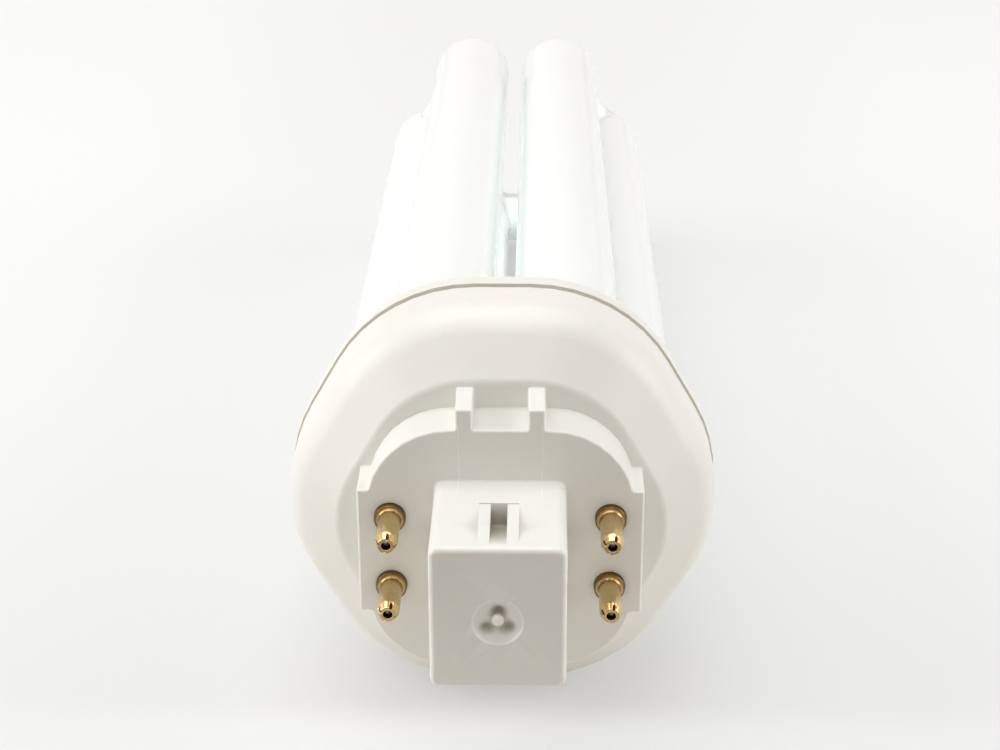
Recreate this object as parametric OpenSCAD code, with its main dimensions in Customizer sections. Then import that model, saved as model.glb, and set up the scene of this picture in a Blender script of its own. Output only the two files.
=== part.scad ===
// Four pin compact fluorescent lamp: six glass tubes on a moulded push-in cap.
// X points right, Y runs along the lamp from the pin plane to the tube ends, and Z points up.
// The origin is on the lamp's axis, in the plane where the contact pins leave the cap.

/* [Contact pins] */
// Distance between the two columns of pins
pin_spacing_x = 23; // [22.4:0.1:23.4]
// Distance between the two rows of pins
pin_spacing_z = 8; // [7:0.1:9]
// Diameter of a pin's shaft
pin_d = 2.35; // [2.1:0.05:2.5]
// Length of a pin in front of the pin plane
pin_length = 6.4; // [5.5:0.1:7.5]
// Diameter of the crimped tip
pin_tip_d = 1.75; // [1.5:0.05:1.9]
// Length of the taper behind the tip
pin_taper = 0.9; // [0.6:0.1:1.8]
// Diameter of the hole along the pin
pin_bore_d = 0.95; // [0.85:0.05:1.1]
// Diameter of the collar that stops the pin on the block
flange_d = 3.25; // [3:0.05:3.5]
// Height of that collar in front of the block
flange_t = 0.7; // [0.4:0.1:1]
// Depth of the recess in which it is seated
seat_depth = 0.15; // [0.1:0.05:0.3]
// Diameter of the rim that is rolled over behind the wall
flare_d = 2.9; // [2.7:0.05:3.1]
// Thickness of the rolled rim
flare_t = 0.35; // [0.25:0.05:0.5]
// Chamfer of a pin's edges
pin_edge = 0.2; // [0.1:0.05:0.3]
// Clearance round a pin in its hole
pin_clearance = 0.05; // [0.03:0.01:0.1]
// Width of the crimping tool's four marks on the tip
crimp_w = 0.3; // [0.2:0.05:0.4]
// Depth of each crimp mark at the tip
crimp_depth = 0.2; // [0.1:0.05:0.25]

/* [Lead wires] */
// Diameter of a lead wire
wire_d = 0.7; // [0.5:0.05:0.75]
// Distance of a lead from the rounded edge of the tube's sealed end
lead_margin = 0.1; // [0.05:0.05:0.2]
// Length of a lead that runs straight out of the glass
lead_out = 1.6; // [1:0.1:2]
// Distance from the pin's mouth to the wire's cut end
wire_recess = 0.7; // [0.1:0.05:0.9]

/* [Pin block] */
// Width and height of the block that carries the pins
block_w = 28; // [27.4:0.1:29]
// Radius of the block's corners
block_r = 8.8; // [7:0.1:10]
// Height of the block in front of the collar
block_depth = 5.75; // [5:0.1:7]
// Thickness of the wall that holds the pins
block_wall = 2; // [1.6:0.1:2.4]
// Thickness of the block's side walls
side_wall = 1.6; // [1.2:0.1:1.7]
// Distance from a pin's middle to the side of its lug
lug_margin = 3.45; // [3.3:0.05:4.1]
// Height of each side lug
lug_h = 14.4; // [13:0.1:16]
// Distance of the lugs' middle below the axis
lug_drop = 0.1; // [0:0.05:0.3]
// Diameter of the boss round each pin hole
boss_d = 4.2; // [3.6:0.1:5]
// Height of that boss above the wall
boss_h = 1.1; // [0.6:0.1:1.5]

/* [Keys] */
// Distance between the middles of the two key ribs
key_spacing = 7.5; // [6:0.1:9]
// Width of a key rib
key_w = 1.75; // [1:0.05:2]
// Height of the ribs above the block
key_h = 2.3; // [1.2:0.1:2.6]

/* [Post] */
// Width of the post
post_w = 13.6; // [12:0.1:14.5]
// Height of the post
post_h = 15.8; // [14:0.1:16.4]
// Height of the post's middle above the axis
post_rise = 0.3; // [0:0.1:0.6]
// Length of the post in front of the pin plane
post_length = 14.5; // [13:0.1:16]
// Thickness of the post's walls
post_wall = 1.5; // [1:0.1:2]
// Radius of the post's long edges
post_edge_r = 1; // [0.5:0.1:1.5]
// Radius of the edges round the post's end face
post_end_r = 0.6; // [0.3:0.1:1]

/* [Latch recess] */
// Distance from the pin plane to the recess's back wall
latch_start = 4.75; // [4:0.05:6]
// Length of the recess along the post
latch_length = 8.75; // [7:0.05:8.9]
// Depth of the recess at its back wall
latch_depth = 2.4; // [1.6:0.1:3]
// Width of the slot between the two bars
latch_slot_w = 1.7; // [1.2:0.1:2.4]
// Width of each bar
latch_bar_w = 1.18; // [0.8:0.02:1.6]
// Reach of the shallow side hollows from the middle of the post
hollow_reach = 5.3; // [4:0.1:5.8]
// Depth of the side hollows beside the bars
hollow_depth = 0.55; // [0.3:0.05:0.8]
// Width of the parting gap behind the bars
latch_gap = 0.25; // [0.15:0.05:0.4]
// Length of the slot's flat floor, as a share of the recess
latch_flat = 0.12; // [0.05:0.01:0.2]

/* [Gate mark] */
// Diameter of the dimple in the post's end face
dimple_d = 5.2; // [4:0.1:6]
// Depth of the dimple in its middle
dimple_depth = 0.45; // [0.2:0.05:0.6]
// Diameter of each of the three lobes in the dimple
lobe_d = 2.2; // [1.2:0.1:2.3]
// Distance of each lobe from the middle of the dimple
lobe_reach = 1.4; // [1:0.05:1.5]
// Depth of the lobes below the dimple's floor
lobe_depth = 0.3; // [0.1:0.05:0.4]
// Diameter of the nub left in the middle
nub_d = 1.25; // [0.8:0.05:1.5]
// Distance from the post's end face down to the nub
nub_drop = 0.15; // [0.05:0.05:0.3]

/* [Collar] */
// Distance from the axis to the corners of the collar's core hexagon
core_r = 6.1; // [4:0.1:8]
// Distance from a tube's outside to the collar's corner
collar_margin = 3.1; // [2.6:0.1:4.5]
// Offset of the edge of the collar's front face
face_r = 11.6; // [11.2:0.1:13]
// Distance from the pin plane to where the slope would meet the side wall
shoulder_y = 10.9; // [10:0.1:12]
// Radius of the shoulder between slope and side wall
shoulder_r = 6; // [3:0.1:6.5]
// Radius of the edge round the collar's front face
face_edge_r = 1.2; // [0.4:0.1:2]
// Thickness of the collar's shell
collar_wall = 1.6; // [1.2:0.1:1.8]
// Distance from the pin plane to the collar's rim
collar_end = 17.9; // [17.4:0.1:20]

/* [Tube holder] */
// Width of the groove between collar and holder
groove_w = 0.6; // [0.4:0.1:1.5]
// Depth of that groove
groove_depth = 0.75; // [0.4:0.05:0.9]
// Thickness of the holder's lip
lip_t = 2.4; // [1.8:0.1:3]
// Distance by which the lip stands out past the collar
lip_out = 0.2; // [0.1:0.05:0.5]
// Radius of the lip's outer edge
lip_edge_r = 0.4; // [0.3:0.1:1.2]
// Length of the spigot inside the collar
spigot_length = 4; // [3:0.1:4.1]
// Clearance between the spigot and the collar
spigot_clearance = 0.1; // [0.05:0.05:0.2]
// Thickness of the holder's top plate
holder_plate = 2.4; // [1.8:0.1:3]
// Diameter of the coring pockets between the sockets
pocket_d = 2.6; // [1.6:0.1:2.8]
// Distance of those pockets from the line between two tubes
pocket_out = 4.85; // [4.7:0.05:5.1]
// Width of the cement gap round each tube
cement_t = 0.35; // [0.25:0.05:0.45]
// Depth of the cement below the holder's top face
cement_recess = 0.5; // [0.2:0.1:1]

/* [Glass tubes] */
// Outer diameter of a tube
tube_d = 12.3; // [11.8:0.1:12.5]
// Gap between neighbouring tubes
tube_gap = 2.05; // [1.8:0.05:2.2]
// Distance from the pin plane to the tube ends
tube_end = 148.5; // [90:0.5:200]
// Distance from the pin plane to the sealed ends inside the cap
tube_base = 12.6; // [12.4:0.1:13.5]
// Radius of the flat in the middle of a tube's domed end
dome_flat = 0.75; // [0.2:0.05:3]
// Radius of the flat on a tube's sealed end
seal_flat = 2.65; // [2.6:0.05:4]
// Diameter of the bridges that join the tubes
bridge_d = 8; // [6:0.1:9]
// Distance from the tube ends to the middle of the outer bridges
far_bridge = 6.2; // [5:0.1:12]
// Distance from the holder's face to the middle of the inner bridges
near_bridge = 6.5; // [5.5:0.1:12]
// Diameter of the sealed-off exhaust stems
stem_d = 2.6; // [2:0.1:2.8]
// Length of the exhaust stems
stem_length = 4.5; // [2:0.1:5]

/* [Hidden] */
$fn = 64;

// Colours as the lamp shows them
ivory = [0.95, 0.94, 0.9];
milk_glass = [0.95, 0.97, 0.96];
brass = [0.72, 0.6, 0.32];
tinned_wire = [0.75, 0.73, 0.7];
cement_white = [0.9, 0.9, 0.88];

// Steps in a rounded edge, and in a corner of the collar
arc_steps = 8;
corner_steps = 8;
wire_sides = 12;
// Length added to a cut so that it runs past the face
past = 1;

// Places along the lamp that several pieces share
face_y = block_depth;
opening_end = face_y + collar_wall;
lip_start = collar_end + groove_w;
holder_top = lip_start + lip_t;
spigot_start = collar_end - spigot_length;
pin_seat = block_wall + boss_h;
post_top = post_rise + post_h / 2;
latch_end = latch_start + latch_length;
block_end = face_y + collar_wall / 2;
near_bridge_y = holder_top + near_bridge;
far_bridge_y = tube_end - far_bridge;

// Radii and reaches that follow from the sizes above
tube_r = tube_d / 2;
socket_r = tube_r + cement_t;
tube_reach = tube_d + tube_gap;
pocket_reach = tube_reach * cos(30) + pocket_out;
collar_r = tube_reach + tube_r + collar_margin - core_r;
lug_reach = pin_spacing_x / 2 + lug_margin;
lead_offset = seal_flat - wire_d / 2 - lead_margin;

// Angles of the tubes, and of the tubes that hold an electrode
tube_angles = [0:60:300];
electrode_angles = [60, 120];
// Angles halfway between the tubes that a bridge joins
far_bridge_angles = [30, 150, 270];
near_bridge_angles = [210, 330];

function unit(v) = v / norm(v);

// Half of the angle at corner b, and the way from b into that corner
function half_angle(a, b, c) = acos(unit(a - b) * unit(c - b)) / 2;
function inward(a, b, c) = unit(unit(a - b) + unit(c - b));

// Arc of radius r that rounds corner b of the path a, b, c
function rounded(a, b, c, r, steps = arc_steps) =
    let (
        half = half_angle(a, b, c),
        turn = 180 - 2 * half,
        centre = b + inward(a, b, c) * r / sin(half),
        first = b + unit(a - b) * r / tan(half) - centre,
        last = b + unit(c - b) * r / tan(half) - centre
    )
    [for (i = [0:steps])
        centre + (first * sin((1 - i / steps) * turn) + last * sin(i / steps * turn)) / sin(turn)];

// Corner b moved inwards by the wall t of a shell
function inset(a, b, c, t) = b + inward(a, b, c) * t / sin(half_angle(a, b, c));

// Outline of a rectangle with round corners, centred on x 0 and height z
function rounded_rectangle(w, h, r, z = 0, steps = arc_steps) =
    let (
        x = w / 2,
        top = z + h / 2,
        low = z - h / 2,
        corners = [[x, top], [-x, top], [-x, low], [x, low]]
    )
    [for (i = [3:-1:0]) each rounded(corners[(i + 1) % 4], corners[i], corners[(i + 3) % 4], r, steps)];

// Extrudes an outline, drawn in X and Z, from one place along Y to another
module along_y(from, to) {
    translate([0, to, 0])
        rotate([90, 0, 0])
            linear_extrude(to - from)
                children();
}

// Spins a profile, drawn as radius and Y, about the Y axis
module about_y() {
    rotate([-90, 0, 0])
        rotate_extrude()
            children();
}

// Turns its children about the Y axis, from +X towards +Z
module turned(angle) {
    rotate([0, -angle, 0])
        children();
}

// Outline of a hexagon with round corners: the core hexagon grown by an offset
function hexagon_outline(offset) =
    [for (corner = [0:60:300], i = [0:corner_steps])
        let (angle = corner - 30 + 60 * i / corner_steps)
        core_r * [cos(corner), sin(corner)] + offset * [cos(angle), sin(angle)]];

// A closed solid through a stack of rings that have the same number of points
module loft(rings) {
    sides = len(rings[0]);
    last = len(rings) - 1;
    polyhedron(
        [for (r = rings) each r],
        concat(
            [[for (i = [0:sides - 1]) i]],
            [for (k = [0:last - 1], i = [0:sides - 1])
                let (j = (i + 1) % sides)
                [k * sides + j, k * sides + i, (k + 1) * sides + i, (k + 1) * sides + j]],
            [[for (i = [sides - 1:-1:0]) last * sides + i]]
        )
    );
}

// A hexagonal shell's solid, lofted along a profile of offset and Y
module hexagon_loft(profile) {
    loft([for (p = profile) [for (q = hexagon_outline(p[0])) [q[0], p[1], -q[1]]]]);
}

// Corners of the collar's outer profile, from the axis out and back to the rim
collar_corners = [
    [0, face_y],
    [face_r, face_y],
    [collar_r, shoulder_y],
    [collar_r, collar_end]
];

function collar_outer() =
    let (c = collar_corners)
    concat(
        rounded(c[0], c[1], c[2], face_edge_r, 3),
        rounded(c[1], c[2], c[3], shoulder_r, 6),
        [c[3]]
    );

function collar_inner() =
    let (
        c = collar_corners,
        front = inset(c[0], c[1], c[2], collar_wall),
        shoulder = inset(c[1], c[2], c[3], collar_wall),
        rim = [collar_r - collar_wall, collar_end + past]
    )
    concat([front], rounded(front, shoulder, rim, shoulder_r - collar_wall, 5), [rim]);

// The collar's shell
module collar() {
    difference() {
        hexagon_loft(collar_outer());
        hexagon_loft(collar_inner());
    }
}

// Outline of the pin block with its side lugs, moved inwards by a wall
module block_outline(wall = 0) {
    polygon(rounded_rectangle(block_w - 2 * wall, block_w - 2 * wall, block_r - wall));
    translate([0, -lug_drop])
        square([2 * (lug_reach - wall), lug_h - 2 * wall], center = true);
}

// The two ribs that key the cap to its own lampholder
module key_ribs() {
    for (side = [-1, 1])
        translate([side * key_spacing / 2 - key_w / 2, 0, block_w / 2 - side_wall / 2])
            cube([key_w, block_end, key_h + side_wall / 2]);
}

// The post, rounded along its sides and round its end face
module post_body() {
    steps = 4;
    front = [for (i = [0:steps])
        let (angle = 90 * i / steps)
        [post_end_r * (1 - sin(angle)), post_end_r * (1 - cos(angle)) - post_length]];
    loft([for (p = concat(front, [[0, block_wall]]))
        [for (q = rounded_rectangle(post_w - 2 * p[0], post_h - 2 * p[0], post_edge_r - p[0], post_rise, 4))
            [q[0], p[1], q[1]]]]);
}

// The space inside the post, with a thicker wall under the latch recess
module post_core() {
    floor_z = post_rise - post_h / 2 + post_wall;
    roof_z = post_top - latch_depth - post_wall;
    along_y(post_wall - post_length, block_wall + past)
        translate([0, (floor_z + roof_z) / 2])
            square([post_w - 2 * post_wall, roof_z - floor_z], center = true);
}

// The latch recess: a ramped slot between two bars, with a shallow hollow on each side
module latch_cut() {
    bar_out = latch_slot_w / 2 + latch_bar_w;
    ramp = [
        [-latch_start, post_top + past],
        [-latch_start, post_top - latch_depth],
        [-latch_start - latch_length * latch_flat, post_top - latch_depth],
        [-latch_end, post_top],
        [-latch_end, post_top + past]
    ];
    translate([-latch_slot_w / 2, 0, 0])
        rotate([90, 0, 90])
            linear_extrude(latch_slot_w)
                polygon(ramp);
    // the parting gap behind the two bars
    translate([-bar_out, -latch_start - latch_gap, post_top - hollow_depth])
        cube([2 * bar_out, latch_gap, hollow_depth + past]);
    for (side = [-1, 1])
        mirror([side < 0 ? 1 : 0, 0, 0])
            side_hollow(bar_out);
}

// A groove along X that is deepest beside the bar and runs out at its far end
module side_hollow(bar_out) {
    run = hollow_reach - bar_out;
    tilt = atan(hollow_depth / run);
    middle = -(latch_start + latch_end) / 2;
    intersection() {
        translate([bar_out, middle, post_top])
            rotate([0, -tilt, 0])
                translate([0, 0, -hollow_depth * cos(tilt)])
                    rotate([90, 0, 90])
                        linear_extrude(run + past)
                            polygon([
                                [0, 0],
                                [latch_length * (1 - latch_flat), 2 * hollow_depth],
                                [-latch_length * (1 - latch_flat), 2 * hollow_depth]
                            ]);
        translate([bar_out, -latch_end, post_top - 2 * hollow_depth])
            cube([run, latch_length, 3 * hollow_depth]);
    }
}

// The mark that the mould's gate leaves on the post's end face: a shallow bowl with three pits round a nub
module gate_mark() {
    face = -post_length;
    // the bowl's profile runs a little past its rim, so that it crosses the face
    steps = 6;
    bowl = [for (i = [steps:-1:0])
        let (s = 1.08 * i / steps)
        [s * dimple_d / 2, face + dimple_depth * (1 - s * s)]];
    difference() {
        union() {
            about_y()
                polygon(concat([[0, face - past], [bowl[0][0], face - past]], bowl));
            for (angle = [90, 210, 330])
                turned(angle)
                    translate([lobe_reach, 0, 0])
                        about_y()
                            polygon([
                                [0, face],
                                [lobe_d / 2, face],
                                [lobe_d / 5, face + dimple_depth + lobe_depth],
                                [0, face + dimple_depth + lobe_depth]
                            ]);
        }
        about_y()
            polygon([
                [0, face + nub_drop],
                [nub_d / 2 - nub_drop, face + nub_drop],
                [nub_d / 2, face + 2 * nub_drop],
                [nub_d / 2, face + past],
                [0, face + past]
            ]);
    }
}

module at_pins() {
    for (x = [-1, 1], z = [-1, 1])
        translate([x * pin_spacing_x / 2, 0, z * pin_spacing_z / 2])
            children();
}

// The moulded cap: collar, pin block, keys and post in one piece
module cap_housing() {
    color(ivory)
        difference() {
            union() {
                collar();
                difference() {
                    union() {
                        along_y(0, block_end)
                            block_outline();
                        key_ribs();
                    }
                    along_y(block_wall, opening_end + past)
                        block_outline(side_wall);
                }
                post_body();
                at_pins()
                    along_y(block_wall / 2, pin_seat)
                        circle(d = boss_d);
            }
            // the opening from the block into the collar
            along_y(pin_seat, opening_end + past)
                block_outline(side_wall);
            post_core();
            latch_cut();
            gate_mark();
            at_pins() {
                along_y(-past, pin_seat + past)
                    circle(d = pin_d + 2 * pin_clearance);
                along_y(-past, seat_depth)
                    circle(d = flange_d + 2 * pin_clearance);
            }
        }
}

// Places its children at each tube's centre line
module at_tubes(angles) {
    for (angle = angles)
        translate([tube_reach * cos(angle), 0, tube_reach * sin(angle)])
            children();
}

// The holder before its sockets are cut: spigot, groove and lip
module holder_body() {
    lip_r = collar_r + lip_out;
    inside_lip = holder_top - lip_t / 2;
    along_y(spigot_start, inside_lip)
        polygon(hexagon_outline(collar_r - collar_wall - spigot_clearance));
    along_y(collar_end, inside_lip)
        polygon(hexagon_outline(collar_r - groove_depth));
    hexagon_loft(concat(
        [[lip_r, lip_start]],
        rounded([lip_r, lip_start], [lip_r, holder_top], [0, holder_top], lip_edge_r, 4)
    ));
}

// The plate that closes the cap and holds the six tubes
module tube_holder() {
    color(ivory)
        difference() {
            holder_body();
            at_tubes(tube_angles)
                along_y(spigot_start - past, holder_top + past)
                    circle(socket_r);
            along_y(spigot_start - past, holder_top - holder_plate)
                circle(tube_reach - socket_r - collar_wall);
            for (angle = tube_angles)
                turned(angle + 30)
                    translate([pocket_reach, 0, 0])
                        along_y(spigot_start - past, holder_top - holder_plate)
                            circle(d = pocket_d);
        }
}

// Profile of one glass tube, closed at both ends
function tube_profile() =
    concat(
        [[0, tube_base]],
        rounded([0, tube_base], [tube_r, tube_base], [tube_r, tube_end], tube_r - seal_flat),
        rounded([tube_r, tube_base], [tube_r, tube_end], [0, tube_end], tube_r - dome_flat),
        [[0, tube_end]]
    );

// Short glass bridges between neighbouring tubes
module bridges(angles, y) {
    for (angle = angles)
        turned(angle)
            translate([tube_reach * cos(30), y, -tube_reach / 2])
                cylinder(h = tube_reach, d = bridge_d);
}

// The sealed glass: six tubes joined into one path, with two exhaust stems
module discharge_tube() {
    color(milk_glass) {
        at_tubes(tube_angles)
            about_y()
                polygon(tube_profile());
        bridges(far_bridge_angles, far_bridge_y);
        bridges(near_bridge_angles, near_bridge_y);
        at_tubes(electrode_angles)
            along_y(tube_base - stem_length, tube_base + past)
                circle(d = stem_d);
    }
}

// One hollow pin: crimped tip, shaft, stop collar, shank and rolled rim
module pin_body() {
    r = pin_d / 2;
    bore = pin_bore_d / 2;
    difference() {
        about_y()
            polygon([
                [bore, -pin_length],
                [pin_tip_d / 2 - pin_edge, -pin_length],
                [pin_tip_d / 2, pin_edge - pin_length],
                [r, pin_taper - pin_length],
                [r, -flange_t],
                [flange_d / 2 - pin_edge, -flange_t],
                [flange_d / 2, pin_edge - flange_t],
                [flange_d / 2, seat_depth],
                [r, seat_depth],
                [r, pin_seat],
                [flare_d / 2, pin_seat],
                [flare_d / 2, pin_seat + flare_t],
                [bore, pin_seat + flare_t]
            ]);
        for (angle = [0:90:270])
            turned(angle)
                linear_extrude(crimp_w, center = true)
                    polygon([
                        [pin_tip_d / 2 - crimp_depth, -pin_length - past],
                        [pin_tip_d / 2 - crimp_depth, -pin_length],
                        [r + pin_edge, pin_taper - pin_length],
                        [r + past, pin_taper - pin_length],
                        [r + past, -pin_length - past]
                    ]);
    }
}

module contact_pin(x, z) {
    color(brass)
        translate([x * pin_spacing_x / 2, 0, z * pin_spacing_z / 2])
            pin_body();
}

// A point on a cubic curve, and the ring of a wire's section at one of its places
function curve(a, b, c, d, t) =
    pow(1 - t, 3) * a + 3 * pow(1 - t, 2) * t * b + 3 * (1 - t) * t * t * c + t * t * t * d;

function ring(centre, direction, r, sides) =
    let (
        n = unit(direction),
        u = unit(cross(n, [1, 0, 0])),
        v = cross(n, u)
    )
    [for (i = [0:sides - 1]) centre + r * (cos(360 * i / sides) * u + sin(360 * i / sides) * v)];

// A round wire along a list of points
module wire(points) {
    last = len(points) - 1;
    loft([for (i = [0:last])
        ring(points[i], points[min(i + 1, last)] - points[max(i - 1, 0)], wire_d / 2, wire_sides)]);
}

// A lead from a tube's sealed end into its pin
module lead_wire(x, z) {
    angle = x < 0 ? electrode_angles[1] : electrode_angles[0];
    out = x * z * lead_offset;
    start = [tube_reach * cos(angle) + out, tube_base, tube_reach * sin(angle)];
    pin = [x * pin_spacing_x / 2, 0, z * pin_spacing_z / 2];
    // the bend lies in the collar, so the lead runs straight through the opening to its pin
    leave = start - [0, lead_out, 0];
    enter = pin + [0, opening_end + wire_d, 0];
    bend = [0, leave[1] - enter[1], 0] / 2;
    steps = 10;
    color(tinned_wire)
        wire(concat(
            [start],
            [for (i = [0:steps]) curve(leave, leave - bend, enter + bend, enter, i / steps)],
            [pin + [0, wire_recess - pin_length, 0]]
        ));
}

// The cement that holds one tube in its socket
module socket_cement(angle) {
    color(cement_white)
        at_tubes([angle])
            along_y(spigot_start, holder_top - cement_recess)
                difference() {
                    circle(socket_r);
                    circle(tube_r);
                }
}

cap_housing();
tube_holder();
discharge_tube();
contact_pin(-1, 1);  // contact_pin_1
contact_pin(-1, -1);  // contact_pin_2
contact_pin(1, 1);  // contact_pin_3
contact_pin(1, -1);  // contact_pin_4
lead_wire(-1, 1);  // lead_wire_1
lead_wire(-1, -1);  // lead_wire_2
lead_wire(1, 1);  // lead_wire_3
lead_wire(1, -1);  // lead_wire_4
socket_cement(0);  // socket_cement_1
socket_cement(60);  // socket_cement_2
socket_cement(120);  // socket_cement_3
socket_cement(180);  // socket_cement_4
socket_cement(240);  // socket_cement_5
socket_cement(300);  // socket_cement_6
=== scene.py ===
"""Dresses the four pin compact fluorescent lamp and sets it on its white table."""
import math

import bmesh
import bpy
from mathutils import Matrix, Vector


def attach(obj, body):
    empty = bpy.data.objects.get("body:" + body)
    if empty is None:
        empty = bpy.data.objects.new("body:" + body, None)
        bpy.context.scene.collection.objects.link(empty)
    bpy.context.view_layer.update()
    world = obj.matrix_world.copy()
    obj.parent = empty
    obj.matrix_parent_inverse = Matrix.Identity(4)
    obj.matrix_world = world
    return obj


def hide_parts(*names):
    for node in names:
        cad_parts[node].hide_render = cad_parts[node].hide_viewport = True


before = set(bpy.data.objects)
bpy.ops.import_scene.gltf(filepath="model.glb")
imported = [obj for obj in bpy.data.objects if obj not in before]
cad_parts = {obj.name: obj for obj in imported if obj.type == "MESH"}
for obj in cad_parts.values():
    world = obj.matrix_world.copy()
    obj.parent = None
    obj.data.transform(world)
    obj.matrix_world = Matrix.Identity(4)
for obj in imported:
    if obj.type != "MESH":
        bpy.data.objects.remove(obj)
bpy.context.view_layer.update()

MM = 0.001

# Sizes of the lamp in millimetres, as the solids have them
TUBE_R = 6.15
TUBE_REACH = 14.35
TUBE_END = 148.5
TUBE_BASE = 12.6
DOME_FLAT = 0.75
SEAL_FLAT = 2.65
BRIDGE_R = 4.0
FAR_BRIDGE_Y = 142.3
NEAR_BRIDGE_Y = 27.4
STEM_R = 1.3
STEM_LENGTH = 4.5
COLLAR_END = 17.9
LIP_START = 18.5
HOLDER_TOP = 20.9
SPIGOT_START = 13.9
CEMENT_T = 0.35
CEMENT_RECESS = 0.5
PIN_X = 23.0
PIN_Z = 8.0
PIN_R = 1.175
PIN_LENGTH = 6.4
PIN_SEAT = 3.1
WIRE_R = 0.35
WIRE_RECESS = 0.7
POST_LENGTH = 14.5
POST_TOP = 8.2


# Node trees

def put(socket, value):
    """Links a socket to another socket, or writes a plain value on it."""
    if isinstance(value, bpy.types.NodeSocket):
        socket.id_data.links.new(value, socket)
    else:
        socket.default_value = value


def node(tree, kind, *values, **settings):
    """Adds a node, with its settings and the values of its first sockets."""
    made = tree.nodes.new(kind)
    named = settings.pop("named", {})
    for key, value in settings.items():
        setattr(made, key, value)
    for socket, value in zip(made.inputs, values):
        if value is not None:
            put(socket, value)
    for key, value in named.items():
        put(made.inputs[key], value)
    return made


def maths(tree, operation, *values, clamp=False):
    return node(tree, "ShaderNodeMath", *values, operation=operation, use_clamp=clamp).outputs[0]


def vector_maths(tree, operation, *values):
    made = node(tree, "ShaderNodeVectorMath", *values, operation=operation)
    return made.outputs["Value" if operation in {"LENGTH", "DOT_PRODUCT"} else "Vector"]


def noise(tree, vector, scale, detail=2.0, roughness=0.5):
    made = node(tree, "ShaderNodeTexNoise", named={
        "Vector": vector, "Scale": scale, "Detail": detail, "Roughness": roughness})
    return made.outputs["Factor" if "Factor" in made.outputs else "Fac"]


def span(tree, value, low, high, to_low=0.0, to_high=1.0):
    """Carries a value from one range to another and keeps it inside."""
    return node(tree, "ShaderNodeMapRange", value, low, high, to_low, to_high,
                interpolation_type="SMOOTHSTEP").outputs[0]


def blend_colour(tree, factor, first, second, mode="MIX"):
    made = node(tree, "ShaderNodeMix", data_type="RGBA", blend_type=mode)
    put(made.inputs[0], factor)
    put(made.inputs[6], first)
    put(made.inputs[7], second)
    return made.outputs[2]


def new_group(name, inputs, outputs, kind="ShaderNodeTree"):
    """An empty node group with named inputs and outputs."""
    group = bpy.data.node_groups.new(name, kind)
    for title, (socket, value) in inputs.items():
        made = group.interface.new_socket(title, in_out="INPUT", socket_type=socket)
        if value is not None:
            made.default_value = value
    for title, socket in outputs.items():
        group.interface.new_socket(title, in_out="OUTPUT", socket_type=socket)
    return group, group.nodes.new("NodeGroupInput").outputs, group.nodes.new("NodeGroupOutput").inputs


def use_group(tree, group, **values):
    """Places a shared group in a material with its own values."""
    made = tree.nodes.new("ShaderNodeGroup")
    made.node_tree = group
    for title, value in values.items():
        put(made.inputs[title.replace("_", " ")], value)
    return made.outputs


FLOAT, VECTOR, COLOUR = "NodeSocketFloat", "NodeSocketVector", "NodeSocketColor"


def build_surface_grain():
    """Fine relief of a moulded or cast surface, and its slow change of tone."""
    group, have, give = new_group(
        "surface_grain",
        {"Place": (VECTOR, None), "Grain": (FLOAT, 0.2), "Drift": (FLOAT, 8.0)},
        {"Height": FLOAT, "Tone": FLOAT})
    fine = noise(group, have["Place"], maths(group, "DIVIDE", 1.0, have["Grain"]), 3.0, 0.6)
    slow = noise(group, have["Place"], maths(group, "DIVIDE", 1.0, have["Drift"]), 2.0)
    put(give["Height"], maths(group, "MULTIPLY_ADD", slow, 0.6, maths(group, "MULTIPLY", fine, 0.4)))
    put(give["Tone"], slow)
    return group


def build_handling_wear():
    """Rubbed edges and a little dust in the open, from an edge value and noise."""
    group, have, give = new_group(
        "handling_wear",
        {"Place": (VECTOR, None), "Edge": (FLOAT, 0.0), "Spots": (FLOAT, 1.5)},
        {"Rubbed": FLOAT, "Dust": FLOAT})
    patches = noise(group, have["Place"], maths(group, "DIVIDE", 1.0, have["Spots"]), 4.0, 0.65)
    put(give["Rubbed"], maths(group, "MULTIPLY", have["Edge"], span(group, patches, 0.35, 0.6)))
    upward = node(group, "ShaderNodeSeparateXYZ", node(group, "ShaderNodeNewGeometry").outputs["Normal"])
    put(give["Dust"], maths(group, "MULTIPLY", span(group, upward.outputs[2], 0.2, 1.0),
                            span(group, patches, 0.5, 0.75)))
    return group


def build_fine_line():
    """A hairline that the mould leaves: 1 on the line, 0 beside it."""
    group, have, give = new_group(
        "fine_line",
        {"Across": (FLOAT, 0.0), "Middle": (FLOAT, 0.0), "Width": (FLOAT, 0.1)},
        {"Line": FLOAT})
    off = maths(group, "ABSOLUTE", maths(group, "SUBTRACT", have["Across"], have["Middle"]))
    half = maths(group, "MULTIPLY", have["Width"], 0.5)
    put(give["Line"], span(group, off, maths(group, "MULTIPLY", half, 1.3),
                           maths(group, "MULTIPLY", half, 0.7)))
    return group


SURFACE_GRAIN = build_surface_grain()
HANDLING_WEAR = build_handling_wear()
FINE_LINE = build_fine_line()


def start_material(name):
    """A material with an empty shader, its tree and its place on the piece in millimetres."""
    material = bpy.data.materials.new(name)
    material.use_nodes = True
    tree = material.node_tree
    shader = tree.nodes["Principled BSDF"]
    place = vector_maths(tree, "MULTIPLY", node(tree, "ShaderNodeTexCoord").outputs["Object"],
                         (1000.0, 1000.0, 1000.0))
    return material, tree, shader, place


def axes_of(tree, place):
    return node(tree, "ShaderNodeSeparateXYZ", place).outputs


def relief(tree, shader, height, distance, strength=1.0):
    bump = node(tree, "ShaderNodeBump", named={
        "Strength": strength, "Distance": distance * MM, "Height": height})
    put(shader.inputs["Normal"], bump.outputs[0])


def inside(tree, value, low, high, soft):
    """1 between two places along an axis, with soft ends."""
    return maths(tree, "MULTIPLY", span(tree, value, low - soft, low + soft),
                 span(tree, value, high + soft, high - soft))


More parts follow.
